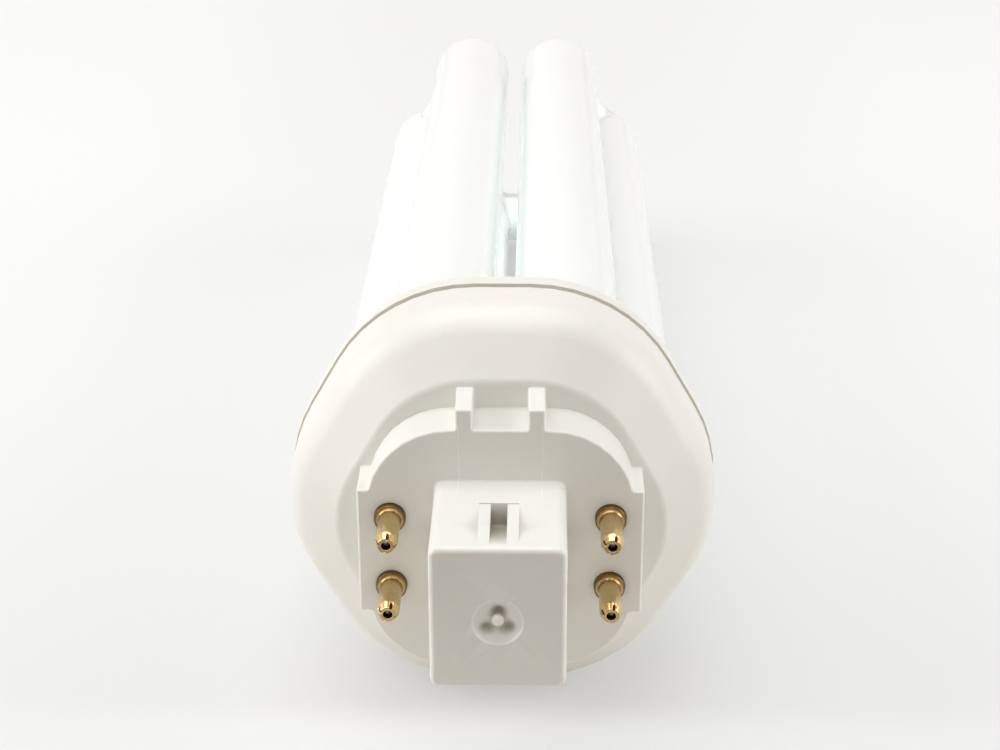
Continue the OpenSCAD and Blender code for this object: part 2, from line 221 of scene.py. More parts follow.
def edge_value(tree):
    return node(tree, "ShaderNodeAttribute", attribute_name="edge").outputs["Fac"]


def make_moulded_plastic():
    material, tree, shader, place = start_material("moulded_plastic")
    grain = use_group(tree, SURFACE_GRAIN, Place=place, Grain=0.16, Drift=7.0)
    wear = use_group(tree, HANDLING_WEAR, Place=place, Edge=edge_value(tree), Spots=2.2)
    x, y, z = axes_of(tree, place)
    side = maths(tree, "ABSOLUTE", x)
    # two hairlines run from the keys down the block's face and on along the post's top
    line = use_group(tree, FINE_LINE, Across=side, Middle=4.32, Width=0.13)[0]
    on_face = maths(tree, "MULTIPLY", inside(tree, y, -3.2, 0.06, 0.05), inside(tree, z, 8.0, 14.6, 0.3))
    hairline = maths(tree, "MULTIPLY", line, on_face)
    # faint turning scuffs round the gate mark on the post's end
    from_gate = vector_maths(tree, "LENGTH", vector_maths(
        tree, "MULTIPLY", vector_maths(tree, "ADD", place, (-0.2, 0.0, 0.4)), (1.0, 0.0, 1.0)))
    arc = maths(tree, "MAXIMUM",
                use_group(tree, FINE_LINE, Across=from_gate, Middle=5.55, Width=0.09)[0],
                use_group(tree, FINE_LINE, Across=from_gate, Middle=6.0, Width=0.06)[0])
    broken = span(tree, noise(tree, place, 0.28, 3.0), 0.5, 0.58)
    on_end = inside(tree, y, -14.7, -14.4, 0.05)
    scuff = maths(tree, "MULTIPLY", arc, maths(tree, "MULTIPLY", broken, on_end))
    ivory = blend_colour(tree, grain["Tone"], (0.81, 0.808, 0.758, 1), (0.85, 0.848, 0.803, 1))
    ivory = blend_colour(tree, maths(tree, "MULTIPLY", wear["Dust"], 0.10), ivory, (0.62, 0.58, 0.50, 1))
    # painted shade: the latch slot, the hollows beside its bars and the pits of the gate mark are painted darker, as
    # less light gets down into them
    in_latch = inside(tree, y, -13.6, -4.7, 0.04)
    slot = maths(tree, "MULTIPLY", span(tree, z, POST_TOP - 0.05, POST_TOP - 2.0),
                 maths(tree, "MULTIPLY", span(tree, side, 0.95, 0.86), in_latch))
    hollow = maths(tree, "MULTIPLY", span(tree, z, POST_TOP - 0.03, POST_TOP - 0.5),
                   maths(tree, "MULTIPLY", inside(tree, side, 1.95, 5.4, 0.05), in_latch))
    from_axis = vector_maths(tree, "LENGTH", vector_maths(tree, "MULTIPLY", place, (1.0, 0.0, 1.0)))
    pit = maths(tree, "MULTIPLY", inside(tree, y, 0.74 - POST_LENGTH, 1.6 - POST_LENGTH, 0.42),
                span(tree, from_axis, 2.5, 2.2))
    # painted shade: the groove between the cap and the holder is tinted darker and browner, for its shaded wall
    groove = inside(tree, y, COLLAR_END + 0.03, LIP_START + 0.02, 0.02)
    shade = maths(tree, "MAXIMUM", maths(tree, "MULTIPLY", slot, 0.62), maths(tree, "MULTIPLY", pit, 0.8))
    shade = maths(tree, "MAXIMUM", shade, maths(tree, "MULTIPLY", hollow, 0.16))
    ivory = blend_colour(tree, shade, ivory, (0.30, 0.26, 0.18, 1))
    ivory = blend_colour(tree, maths(tree, "MULTIPLY", groove, 0.25), ivory, (0.60, 0.49, 0.33, 1))
    # painted highlight: the hairlines are painted pale along their lit edge; worn edges and scuffs are paler too
    pale = maths(tree, "MAXIMUM", maths(tree, "MULTIPLY", wear["Rubbed"], 0.35),
                 maths(tree, "MAXIMUM", maths(tree, "MULTIPLY", hairline, 0.9),
                       maths(tree, "MULTIPLY", scuff, 0.35)))
    # the gate mark's rim is made paler, and the nub in its middle carries a painted highlight
    in_gate = maths(tree, "MULTIPLY", span(tree, y, 1.0 - POST_LENGTH, 0.6 - POST_LENGTH), span(tree, y, -12.0, -13.0))
    gate_rim_and_nub_highlight = maths(tree, "MAXIMUM", maths(tree, "MULTIPLY", inside(tree, from_axis, 2.4, 2.58, 0.06), 0.6),
                   span(tree, from_axis, 0.66, 0.6))
    pale = maths(tree, "MAXIMUM", pale, maths(tree, "MULTIPLY", gate_rim_and_nub_highlight, in_gate))
    put(shader.inputs["Base Color"], blend_colour(tree, pale, ivory, (0.95, 0.945, 0.91, 1)))
    put(shader.inputs["Roughness"], maths(tree, "MULTIPLY_ADD", grain["Tone"], 0.10, 0.34))
    shader.inputs["Subsurface Weight"].default_value = 0.12
    shader.inputs["Subsurface Radius"].default_value = (1.0, 0.8, 0.5)
    shader.inputs["Subsurface Scale"].default_value = 0.8 * MM
    shader.inputs["IOR"].default_value = 1.49
    height = maths(tree, "MULTIPLY_ADD", hairline, 1.6, grain["Height"])
    relief(tree, shader, height, 0.02)
    return material


def make_coated_glass():
    material, tree, shader, place = start_material("coated_glass")
    x, y, z = axes_of(tree, place)
    cloud = noise(tree, vector_maths(tree, "MULTIPLY", place, (1.0, 0.3, 1.0)), 0.22, 4.0, 0.6)
    speck = span(tree, noise(tree, place, 1.9, 3.0, 0.7), 0.66, 0.74)
    white = blend_colour(tree, cloud, (0.875, 0.905, 0.905, 1), (0.905, 0.93, 0.925, 1))
    # the powder ends a little above the seal, where the electrode has left it grey
    low = maths(tree, "MULTIPLY_ADD", cloud, 3.0, y)
    white = blend_colour(tree, span(tree, low, 21.0, 15.0), white, (0.55, 0.56, 0.55, 1))
    put(shader.inputs["Base Color"], blend_colour(
        tree, maths(tree, "MULTIPLY", speck, 0.12), white, (0.74, 0.75, 0.72, 1)))
    put(shader.inputs["Roughness"], maths(tree, "MULTIPLY_ADD", cloud, 0.16, 0.42))
    shader.inputs["Coat Weight"].default_value = 1.0
    shader.inputs["Coat Roughness"].default_value = 0.03
    shader.inputs["Coat IOR"].default_value = 1.5
    shader.inputs["IOR"].default_value = 1.3
    shader.inputs["Subsurface Weight"].default_value = 0.55
    shader.inputs["Subsurface Radius"].default_value = (0.9, 1.0, 0.97)
    shader.inputs["Subsurface Scale"].default_value = 4.0 * MM
    outward = vector_maths(tree, "NORMALIZE", vector_maths(tree, "MULTIPLY", place, (1.0, 0.0, 1.0)))
    facing = vector_maths(tree, "DOT_PRODUCT", outward, node(tree, "ShaderNodeNewGeometry").outputs["Normal"])
    # painted light: the tubes glow on the sides that face the middle, deep between them and on faces turned back
    # towards the cap, for the light that the white walls let through
    shader.inputs["Emission Color"].default_value = (0.94, 1.0, 0.975, 1)
    deep = span(tree, vector_maths(tree, "LENGTH", vector_maths(tree, "MULTIPLY", place, (1.0, 0.0, 1.0))), 14.5, 11.5)
    back = span(tree, axes_of(tree, node(tree, "ShaderNodeNewGeometry").outputs["Normal"])[1], -0.1, -0.7)
    glow = maths(tree, "MULTIPLY_ADD", deep, 0.12, maths(tree, "MULTIPLY", span(tree, facing, 0.4, -0.7), 0.18))
    put(shader.inputs["Emission Strength"], maths(tree, "MULTIPLY_ADD", maths(
        tree, "MULTIPLY", back, span(tree, y, 60.0, 100.0)), 0.36, maths(tree, "MULTIPLY", glow, span(tree, y, 150.0, 120.0))))
    ripple = noise(tree, vector_maths(tree, "MULTIPLY", place, (1.0, 0.15, 1.0)), 0.16, 1.0)
    relief(tree, shader, ripple, 0.02)
    return material


def make_pin_brass():
    material, tree, shader, place = start_material("pin_brass")
    x, y, z = axes_of(tree, place)
    grain = use_group(tree, SURFACE_GRAIN, Place=place, Grain=0.08, Drift=1.3)
    wear = use_group(tree, HANDLING_WEAR, Place=place, Edge=1.0, Spots=0.8)
    turned = noise(tree, vector_maths(tree, "MULTIPLY", place, (0.15, 14.0, 0.15)), 1.0, 2.0)
    bright = blend_colour(tree, grain["Tone"], (0.60, 0.43, 0.19, 1), (0.72, 0.55, 0.29, 1))
    # the brass is browner on the stop collar, most of all round its rim
    off = node(tree, "ShaderNodeCombineXYZ", maths(tree, "SUBTRACT", maths(tree, "ABSOLUTE", x), PIN_X / 2),
               maths(tree, "SUBTRACT", maths(tree, "ABSOLUTE", z), PIN_Z / 2)).outputs[0]
    r = vector_maths(tree, "LENGTH", off)
    seat = span(tree, maths(tree, "MULTIPLY_ADD", grain["Tone"], 0.9, y), -1.1, 0.1)
    aged = maths(tree, "MULTIPLY_ADD", seat, 0.4, maths(tree, "MULTIPLY_ADD", wear["Rubbed"], 0.12, maths(
        tree, "MULTIPLY", span(tree, r, 1.38, 1.56), 0.55)), clamp=True)
    tone = blend_colour(tree, aged, bright, (0.17, 0.10, 0.035, 1))
    # painted shade: the bore and the crimp marks lie below the shaft and its taper, and are painted dark
    taper = maths(tree, "MINIMUM", maths(tree, "MULTIPLY_ADD", y, 0.363, 3.17), PIN_R)
    sunk = maths(tree, "MULTIPLY", span(tree, maths(tree, "SUBTRACT", taper, r), 0.05, 0.12),
                 span(tree, y, 0.03 - PIN_LENGTH, 0.1 - PIN_LENGTH))
    put(shader.inputs["Base Color"], blend_colour(tree, sunk, tone, (0.05, 0.018, 0.01, 1)))
    shader.inputs["Metallic"].default_value = 1.0
    put(shader.inputs["Roughness"], maths(tree, "MULTIPLY_ADD", aged, 0.16, maths(
        tree, "MULTIPLY_ADD", turned, 0.12, 0.14)))
    relief(tree, shader, maths(tree, "ADD", turned, grain["Height"]), 0.008)
    return material


def make_tinned_wire():
    material, tree, shader, place = start_material("tinned_wire")
    grain = use_group(tree, SURFACE_GRAIN, Place=place, Grain=0.1, Drift=1.0)
    drawn = noise(tree, vector_maths(tree, "MULTIPLY", place, (6.0, 0.3, 6.0)), 1.0, 2.0)
    tone = blend_colour(tree, grain["Tone"], (0.52, 0.50, 0.47, 1), (0.74, 0.73, 0.71, 1))
    # painted shade: the cut ends are painted dark down in the pins, but for a small spot where they catch the light
    x, y, z = axes_of(tree, place)
    off = node(tree, "ShaderNodeCombineXYZ", maths(tree, "SUBTRACT", maths(tree, "ABSOLUTE", x), PIN_X / 2 + 0.08),
               maths(tree, "SUBTRACT", maths(tree, "ABSOLUTE", z), PIN_Z / 2 + 0.1)).outputs[0]
    dark = maths(tree, "MULTIPLY", span(tree, y, -5.0, -5.4),
                 span(tree, vector_maths(tree, "LENGTH", off), 0.1, 0.2))
    put(shader.inputs["Base Color"], blend_colour(
        tree, maths(tree, "MULTIPLY", dark, 0.85), tone, (0.10, 0.07, 0.05, 1)))
    shader.inputs["Metallic"].default_value = 1.0
    put(shader.inputs["Roughness"], maths(tree, "MULTIPLY_ADD", drawn, 0.2, 0.24))
    relief(tree, shader, maths(tree, "ADD", drawn, grain["Height"]), 0.006)
    return material


def make_socket_cement():
    material, tree, shader, place = start_material("socket_cement")
    grain = use_group(tree, SURFACE_GRAIN, Place=place, Grain=0.22, Drift=1.8)
    wear = use_group(tree, HANDLING_WEAR, Place=place, Edge=0.0, Spots=0.7)
    tone = blend_colour(tree, grain["Tone"], (0.70, 0.69, 0.64, 1), (0.83, 0.82, 0.78, 1))
    put(shader.inputs["Base Color"], blend_colour(
        tree, maths(tree, "MULTIPLY", wear["Dust"], 0.3), tone, (0.55, 0.52, 0.45, 1)))
    put(shader.inputs["Roughness"], maths(tree, "MULTIPLY_ADD", grain["Tone"], 0.1, 0.8))
    relief(tree, shader, grain["Height"], 0.12)
    return material


PLASTIC = make_moulded_plastic()
GLASS = make_coated_glass()
BRASS = make_pin_brass()
WIRE = make_tinned_wire()
CEMENT = make_socket_cement()


# Meshes

def finish_mesh(name, made, material, sharp=35.0):
    """Turns a bmesh given in millimetres into a smooth object at the origin."""
    bmesh.ops.scale(made, vec=(MM, MM, MM), verts=made.verts)
    bmesh.ops.recalc_face_normals(made, faces=made.faces)
    mesh = bpy.data.meshes.new(name)
    made.to_mesh(mesh)
    made.free()
    mesh.shade_smooth()
    mesh.set_sharp_from_angle(angle=math.radians(sharp))
    mesh.materials.append(material)
    made = bpy.data.objects.new(name, mesh)
    bpy.context.scene.collection.objects.link(made)
    return made


def arc(centre, r, first, last, steps):
    """Points on part of a circle in the plane of radius and Y, in degrees."""
    return [(centre[0] + r * math.cos(math.radians(first + (last - first) * i / steps)),
             centre[1] + r * math.sin(math.radians(first + (last - first) * i / steps)))
            for i in range(steps + 1)]


def turn_on_axis(profile, sides, closed, shape=None):
    """A form turned about Y. An open profile starts and ends on the axis, a closed one is a ring.
    The shape function may move each point, given its radius, Y and angle."""
    made = bmesh.new()
    rings = []
    for r, y in profile:
        if r < 1e-6:
            rings.append([made.verts.new((0.0, y, 0.0))])
            continue
        ring = []
        for i in range(sides):
            angle = 2 * math.pi * i / sides
            rr, yy = shape(r, y, angle) if shape else (r, y)
            ring.append(made.verts.new((rr * math.cos(angle), yy, rr * math.sin(angle))))
        rings.append(ring)
    pairs = list(zip(rings, rings[1:])) + ([(rings[-1], rings[0])] if closed else [])
    for low, high in pairs:
        for i in range(sides):
            j = (i + 1) % sides
            corners = [low[i % len(low)], low[j % len(low)], high[j % len(high)], high[i % len(high)]]
            made.faces.new(list(dict.fromkeys(corners)))
    return made


def tube_profile():
    """One glass tube from its flat seal to its dome, with the small swell of the worked ends."""
    seal = arc((SEAL_FLAT, TUBE_BASE + TUBE_R - SEAL_FLAT), TUBE_R - SEAL_FLAT, -90, 0, 10)
    dome = arc((DOME_FLAT, TUBE_END - TUBE_R + DOME_FLAT), TUBE_R - DOME_FLAT, 0, 90, 18)
    wall = [(TUBE_R, TUBE_BASE + 6 + (TUBE_END - TUBE_BASE - 14) * i / 30) for i in range(31)]
    return [(0.0, TUBE_BASE)] + seal + wall + dome + [(0.0, TUBE_END)]


def worked_glass(r, y, angle):
    """Glass is a hair thinner where it was heated, next to the bridges."""
    waist = math.exp(-((y - FAR_BRIDGE_Y + 9) / 5) ** 2) + math.exp(-((y - NEAR_BRIDGE_Y - 8) / 5) ** 2)
    return r - 0.05 * waist * (r / TUBE_R), y


def bridge_form():
    """The fused neck between two tubes at angle 0: it flares into both glass walls."""
    made = bmesh.new()
    sides, steps, flare, sunk = 56, 9, 1.5, 0.35
    rings = []
    for side in (-1, 1):
        for k in range(steps + 1):
            t = k / steps if side > 0 else 1 - k / steps
            if side > 0 and k == 0:
                continue
            ring = []
            for i in range(sides):
                angle = 2 * math.pi * i / sides
                r_out = BRIDGE_R + flare
                wall = TUBE_REACH / 2 - math.sqrt(TUBE_R ** 2 - (r_out * math.sin(angle)) ** 2)
                # a cubic that leaves the neck along it and meets the wall along the wall
                along = 3 * (1 - t) * t * t * wall * 0.9 + 3 * (1 - t) ** 2 * t * wall * 0.55 + t ** 3 * wall
                r = ((1 - t) ** 3 + 3 * (1 - t) ** 2 * t) * BRIDGE_R
                r += 3 * (1 - t) * t * t * (BRIDGE_R + flare * 0.35) + t ** 3 * r_out
                if t >= 1:
                    along += sunk
                ring.append(made.verts.new((TUBE_REACH * math.cos(math.radians(30)) + r * math.sin(angle),
                                            r * math.cos(angle), side * along)))
            rings.append(ring)
    for low, high in zip(rings, rings[1:]):
        for i in range(sides):
            j = (i + 1) % sides
            made.faces.new((low[i], low[j], high[j], high[i]))
    made.faces.new(rings[0])
    made.faces.new(rings[-1])
    return made


def stem_form():
    """The sealed stub of the exhaust tube, drawn to a point in the flame."""
    tip = TUBE_BASE - STEM_LENGTH
    profile = [(0.0, tip), (0.35, tip + 0.08), (0.72, tip + 0.42), (1.05, tip + 0.95), (1.24, tip + 1.6),
               (STEM_R, tip + 2.4), (STEM_R, TUBE_BASE - 0.6), (STEM_R + 0.25, TUBE_BASE - 0.15),
               (STEM_R + 0.7, TUBE_BASE), (STEM_R + 0.7, TUBE_BASE + 0.5), (0.0, TUBE_BASE + 0.5)]
    return turn_on_axis(profile, 32, closed=False)


def cement_form():
    """The ring of cement round one tube, with a meniscus that climbs the glass unevenly."""
    inner, outer = TUBE_R + 0.004, TUBE_R + CEMENT_T - 0.004
    top = HOLDER_TOP - CEMENT_RECESS
    profile = [(inner, SPIGOT_START), (outer, SPIGOT_START), (outer, top - 0.12),
               (outer - 0.1, top - 0.1), (inner + 0.12, top - 0.02), (inner + 0.04, top + 0.12), (inner, top + 0.2)]

    def uneven(r, y, angle):
        if y < top - 0.15:
            return r, y
        lump = 0.5 * math.sin(3 * angle + 0.6) + 0.3 * math.sin(7 * angle) + 0.2 * math.sin(13 * angle + 2)
        return r, y + 0.09 * lump
    return turn_on_axis(profile, 72, closed=True, shape=uneven)


def pin_form():
    """A hollow brass pin: rolled mouth, taper, shaft, rounded stop collar, shank and rolled rim."""
    tip = -PIN_LENGTH
    profile = (
        [(0.475, 3.45), (0.475, tip + 0.4), (0.475, tip + 0.12)]
        + arc((0.475 + 0.08, tip + 0.08), 0.08, 180, 270, 4)
        + [(0.66, tip), (0.74, tip)]
        + arc((0.80, tip + 0.075), 0.075, -90, -23, 4)
        + [(0.865 + 0.363 * (y - 0.05), tip + y) for y in (0.2, 0.35, 0.5, 0.65, 0.8)]
        + [(PIN_R - 0.01, tip + 0.89), (PIN_R, tip + 0.97)]
        + [(PIN_R, -2.2)]
        + arc((PIN_R + 0.22, -0.92), 0.22, 180, 90, 8)
        + [(1.46, -0.70)]
        + arc((1.625 - 0.1, -0.6), 0.1, -90, 0, 4)
        + [(1.625, 0.08)]
        + arc((1.625 - 0.07, 0.08), 0.07, 0, 90, 3)
        + [(PIN_R, 0.15), (PIN_R, PIN_SEAT - 0.02)]
        + arc((1.45 - 0.16, PIN_SEAT + 0.18), 0.16, -75, 90, 8)
        + [(0.7, 3.45)])

    def crimped(r, y, angle):
        """Four narrow marks of the crimping tool, which run out towards the shaft."""
        off = abs((math.degrees(angle) + 45) % 90 - 45)
        mark = min(1.0, max(0.0, (9.5 - off) / 3.5)) * min(1.0, max(0.0, (tip + 0.9 - y) / 0.3))
        return r - 0.19 * mark * min(1.0, max(0.0, (r - 0.58) / 0.27)), y
    return turn_on_axis(profile, 96, closed=True, shape=crimped)


# Geometry node trees

def modifier_tree(name, inputs):
    named = {"Geometry": ("NodeSocketGeometry", None), **inputs, "Material": ("NodeSocketMaterial", None)}
    return new_group(name, named, {"Geometry": "NodeSocketGeometry"}, "GeometryNodeTree")


def close_tree(tree, have, give, instances):
    """Ends a tree with real meshes that carry the given material."""
    real = node(tree, "GeometryNodeRealizeInstances", instances)
    dressed = node(tree, "GeometryNodeSetMaterial", real.outputs[0])
    put(dressed.inputs["Material"], have["Material"])
    put(give["Geometry"], dressed.outputs[0])
    return tree


def build_round_the_axis():
    """Repeats a form round the lamp's axis, in equal steps from a first angle."""
    tree, have, give = modifier_tree("round_the_axis", {
        "Count": ("NodeSocketInt", 6), "First angle": (FLOAT, 0.0), "Step angle": (FLOAT, 60.0),
        "Quarter turns": (FLOAT, 0.0)})
    points = node(tree, "GeometryNodePoints", have["Count"])
    index = node(tree, "GeometryNodeInputIndex").outputs[0]
    degrees = maths(tree, "MULTIPLY_ADD", index, have["Step angle"], have["First angle"])
    turn = node(tree, "ShaderNodeCombineXYZ", 0.0, maths(
        tree, "MULTIPLY", degrees, -math.pi / 180), 0.0)
    placed = node(tree, "GeometryNodeInstanceOnPoints", points.outputs[0], named={
        "Instance": have["Geometry"],
        "Rotation": node(tree, "FunctionNodeEulerToRotation", turn.outputs[0]).outputs[0]})
    return close_tree(tree, have, give, placed.outputs[0])


def build_on_a_rectangle():
    """Stands a form on the four corners of a rectangle, each turned a little differently."""
    tree, have, give = modifier_tree("on_a_rectangle", {
        "Width": (FLOAT, 0.02), "Height": (FLOAT, 0.01), "Seed": ("NodeSocketInt", 3)})
    corners = node(tree, "GeometryNodeMeshGrid", have["Width"], have["Height"], 2, 2)
    upright = node(tree, "GeometryNodeTransform", corners.outputs[0], named={
        "Rotation": (math.pi / 2, 0.0, 0.0)})
    turn = node(tree, "FunctionNodeRandomValue", data_type="FLOAT", named={"Seed": have["Seed"]})
    turn.inputs[2].default_value = -0.5
    turn.inputs[3].default_value = 0.5
    spin = node(tree, "ShaderNodeCombineXYZ", 0.0, turn.outputs[1], 0.0)
    placed = node(tree, "GeometryNodeInstanceOnPoints", upright.outputs[0], named={
        "Instance": have["Geometry"],
        "Rotation": node(tree, "FunctionNodeEulerToRotation", spin.outputs[0]).outputs[0]})
    return close_tree(tree, have, give, placed.outputs[0])


def build_wire_along_path():
    """Draws a round wire along a path of points."""
    tree, have, give = modifier_tree("wire_along_path", {"Radius": (FLOAT, 0.0005), "Sides": ("NodeSocketInt", 20)})
    path = node(tree, "GeometryNodeMeshToCurve", have["Geometry"])
    section = node(tree, "GeometryNodeCurvePrimitiveCircle", named={"Resolution": have["Sides"], "Radius": have["Radius"]})
    drawn = node(tree, "GeometryNodeCurveToMesh", path.outputs[0], section.outputs[0], named={"Fill Caps": True})
    return close_tree(tree, have, give, drawn.outputs[0])


ROUND_THE_AXIS = build_round_the_axis()
ON_A_RECTANGLE = build_on_a_rectangle()
WIRE_ALONG_PATH = build_wire_along_path()


def keep_result(obj):
    """Makes the result of an object's modifiers its plain mesh."""
    obj.update_tag()
    bpy.context.view_layer.update()
    shaped = bpy.data.meshes.new_from_object(obj.evaluated_get(bpy.context.evaluated_depsgraph_get()))
    obj.modifiers.clear()
    obj.data = shaped
    shaped.name = obj.name
    return obj


def grow(obj, tree, material, **values):
    """Runs a geometry tree on an object and keeps the result as its plain mesh."""
    modifier = obj.modifiers.new(tree.name, "NODES")
    modifier.node_group = tree
    values["Material"] = material
    for item in tree.interface.items_tree:
        title = item.name.replace(" ", "_")
        if item.item_type == "SOCKET" and item.in_out == "INPUT" and title in values:
            modifier[item.identifier] = values[title]
    return keep_result(obj)


def shift(made, x=0.0, y=0.0, z=0.0):
    bmesh.ops.translate(made, vec=(x, y, z), verts=made.verts)
    return made


def wire_path(x, z):
    """A lead from the tube's seal over a bend into its pin, as an edge path."""
    angle = math.radians(120 if x < 0 else 60)
    out = x * z * (SEAL_FLAT - WIRE_R - 0.1)
    start = Vector((TUBE_REACH * math.cos(angle) + out, TUBE_BASE, TUBE_REACH * math.sin(angle)))
    leave = start - Vector((0, 1.6, 0))
    enter = Vector((x * PIN_X / 2, 7.35 + 2 * WIRE_R, z * PIN_Z / 2))
    bend = Vector((0, (leave.y - enter.y) / 2, 0))
    points = [start, start.lerp(leave, 0.5)]
    for i in range(25):
        t = i / 24
        points.append((1 - t) ** 3 * leave + 3 * (1 - t) ** 2 * t * (leave - bend)
                      + 3 * (1 - t) * t * t * (enter + bend) + t ** 3 * enter)
    points += [Vector((enter.x, y, enter.z)) for y in (6.0, 3.0, 0.0, -3.0, WIRE_RECESS - PIN_LENGTH)]
    made = bmesh.new()
    corners = [made.verts.new(p) for p in points]
    for a, b in zip(corners, corners[1:]):
        made.edges.new((a, b))
    bmesh.ops.scale(made, vec=(MM, MM, MM), verts=made.verts)
    return made


def cap_edge(x, y, z):
    """How far an edge of the cap is rounded, from 0 to 1, by its place."""
    if y < -13.7 and math.hypot(x, z) < 3.0:
        return 0.0
    if math.hypot(abs(x) - PIN_X / 2, abs(z) - PIN_Z / 2) < 2.3:
        return 0.0
    if y > 17.0:
        return 0.35 if math.hypot(x, z) > 21.2 else 0.0
    if y > 6.5 or (y > 0.3 and abs(x) < 13.4 and abs(z) < 12.45):
        return 0.0
    if y > 4.0 and abs(x) < 13.4 and z < 14.6:
        return 0.0
    if y > 5.2 and z > 15.5:
        return 0.15
    if y < -0.3 and z < 8.0:
        return 0.0
    if y < -0.3:
        return 0.22
    return 1.0 if abs(y) < 0.02 else 0.7


def holder_edge(x, y, z):
    """The holder's rim, groove and socket mouths."""
    if y < 17.0:
        return 0.0
    return 0.35 if y < 18.8 else 0.8


def gate_depth(r, angle):
    """How deep the gate mark lies below the post's end face: a bowl, three pits and a nub."""
    if r < 0.64:
        return 0.08 + 0.45 * (1 - math.sqrt(1 - (r / 0.645) ** 2))
    depth = 0.42 * (1 - (r / 2.59) ** 2)
    for x, z in ((0.05, 1.0), (-1.18, -0.97), (1.08, -0.92)):
        off = math.hypot(r * math.cos(angle) - x, r * math.sin(angle) - z)
        depth += 0.7 * math.exp(-(off / 0.82) ** 2)
    return depth


def soften_gate(made):
    """Lays a soft surface over the gate mark's cut faces, joined to the post's end face."""
    def near(vert):
        return vert.co.y < -13.1 * MM and math.hypot(vert.co.x, vert.co.z) < 2.66 * MM
    bmesh.ops.delete(made, geom=[f for f in made.faces if all(near(v) for v in f.verts)], context="FACES")
    rim = [e for e in made.edges if e.is_boundary and near(e.verts[0]) and near(e.verts[1])]
    bmesh.ops.subdivide_edges(made, edges=rim, cuts=2)
    rim = {v for e in made.edges if e.is_boundary for v in e.verts if near(v)}
    outer = sorted(rim, key=lambda v: math.atan2(v.co.z, v.co.x))
    turns = [math.atan2(v.co.z, v.co.x) for v in outer]
    for vert, turn in zip(outer, turns):
        vert.co = Vector((2.59 * math.cos(turn), -POST_LENGTH, 2.59 * math.sin(turn))) * MM
    for r in (2.45, 2.25, 2.05, 1.85, 1.65, 1.45, 1.25, 1.05, 0.9, 0.78, 0.7, 0.65, 0.63, 0.58, 0.48, 0.34, 0.17):
        ring = [made.verts.new(Vector((r * math.cos(t), gate_depth(r, t) - POST_LENGTH, r * math.sin(t))) * MM)
                for t in turns]
        for i in range(len(ring)):
            made.faces.new((outer[i - 1], outer[i], ring[i], ring[i - 1]))
        outer = ring
    middle = made.verts.new(Vector((0.0, gate_depth(0, 0) - POST_LENGTH, 0.0)) * MM)
    for i in range(len(outer)):
        made.faces.new((outer[i - 1], outer[i], middle))
    bmesh.ops.recalc_face_normals(made, faces=made.faces)


def mark_edges(made):
    """Writes where a mesh has rounded outer edges, for the wear of its finish."""
    edge_layer = made.verts.layers.float.new("edge")
    for vert in made.verts:
        turned = [e for e in vert.link_edges
                  if e.is_convex and 0.38 < e.calc_face_angle(0) < 0.9]
        vert[edge_layer] = 1.0 if len(turned) > 1 else 0.0


def rounded_copy(name, source, amount, width, segments, detail=None):
    """A copy of a moulded solid with its sharp edges rounded off by a rule of place."""
    made = bmesh.new()
    made.from_mesh(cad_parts[source].data)
    bmesh.ops.remove_doubles(made, verts=made.verts, dist=2e-6)
    bmesh.ops.dissolve_limit(made, angle_limit=math.radians(0.6), verts=made.verts, edges=made.edges)
    weight = made.edges.layers.float.new("bevel_weight_edge")
    for edge in made.edges:
        if edge.calc_face_angle(0) > math.radians(30):
            edge[weight] = amount(*((edge.verts[0].co + edge.verts[1].co) / 2 / MM))
    mesh = bpy.data.meshes.new(name)
    made.to_mesh(mesh)
    made.free()
    obj = bpy.data.objects.new(name, mesh)
    bpy.context.scene.collection.objects.link(obj)
    bevel = obj.modifiers.new("rounding", "BEVEL")
    bevel.width = width * MM
    bevel.segments = segments
    bevel.limit_method = "WEIGHT"
    bevel.use_clamp_overlap = False
    bevel.miter_outer = "MITER_ARC"
    keep_result(obj)
    made = bmesh.new()
    made.from_mesh(obj.data)
    if detail:
        detail(made)
    mark_edges(made)
    made.to_mesh(obj.data)
    made.free()
    obj.data.shade_smooth()
    obj.data.set_sharp_from_angle(angle=math.radians(33))
    for edge in obj.data.edges:
        ends = [obj.data.vertices[i].co / MM for i in edge.vertices]
        if all(abs(v.y + POST_LENGTH) < 0.01 and math.hypot(v.x, v.z) < 2.62 for v in ends):
            edge.use_edge_sharp = True
    # flat faces keep their own normal, so only the rounded edges turn the light
    weighted = obj.modifiers.new("flat_faces", "WEIGHTED_NORMAL")
    weighted.keep_sharp = True
    weighted.weight = 100
    keep_result(obj)
    obj.data.materials.clear()
    obj.data.materials.append(PLASTIC)
    return obj


def dress(obj, slot, *nodes):
    """Lets a piece stand for its solids, which are hidden, and hangs it under the root. The slot is not used."""
    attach(obj, "root")
    if nodes:
        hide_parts(*nodes)
    return obj


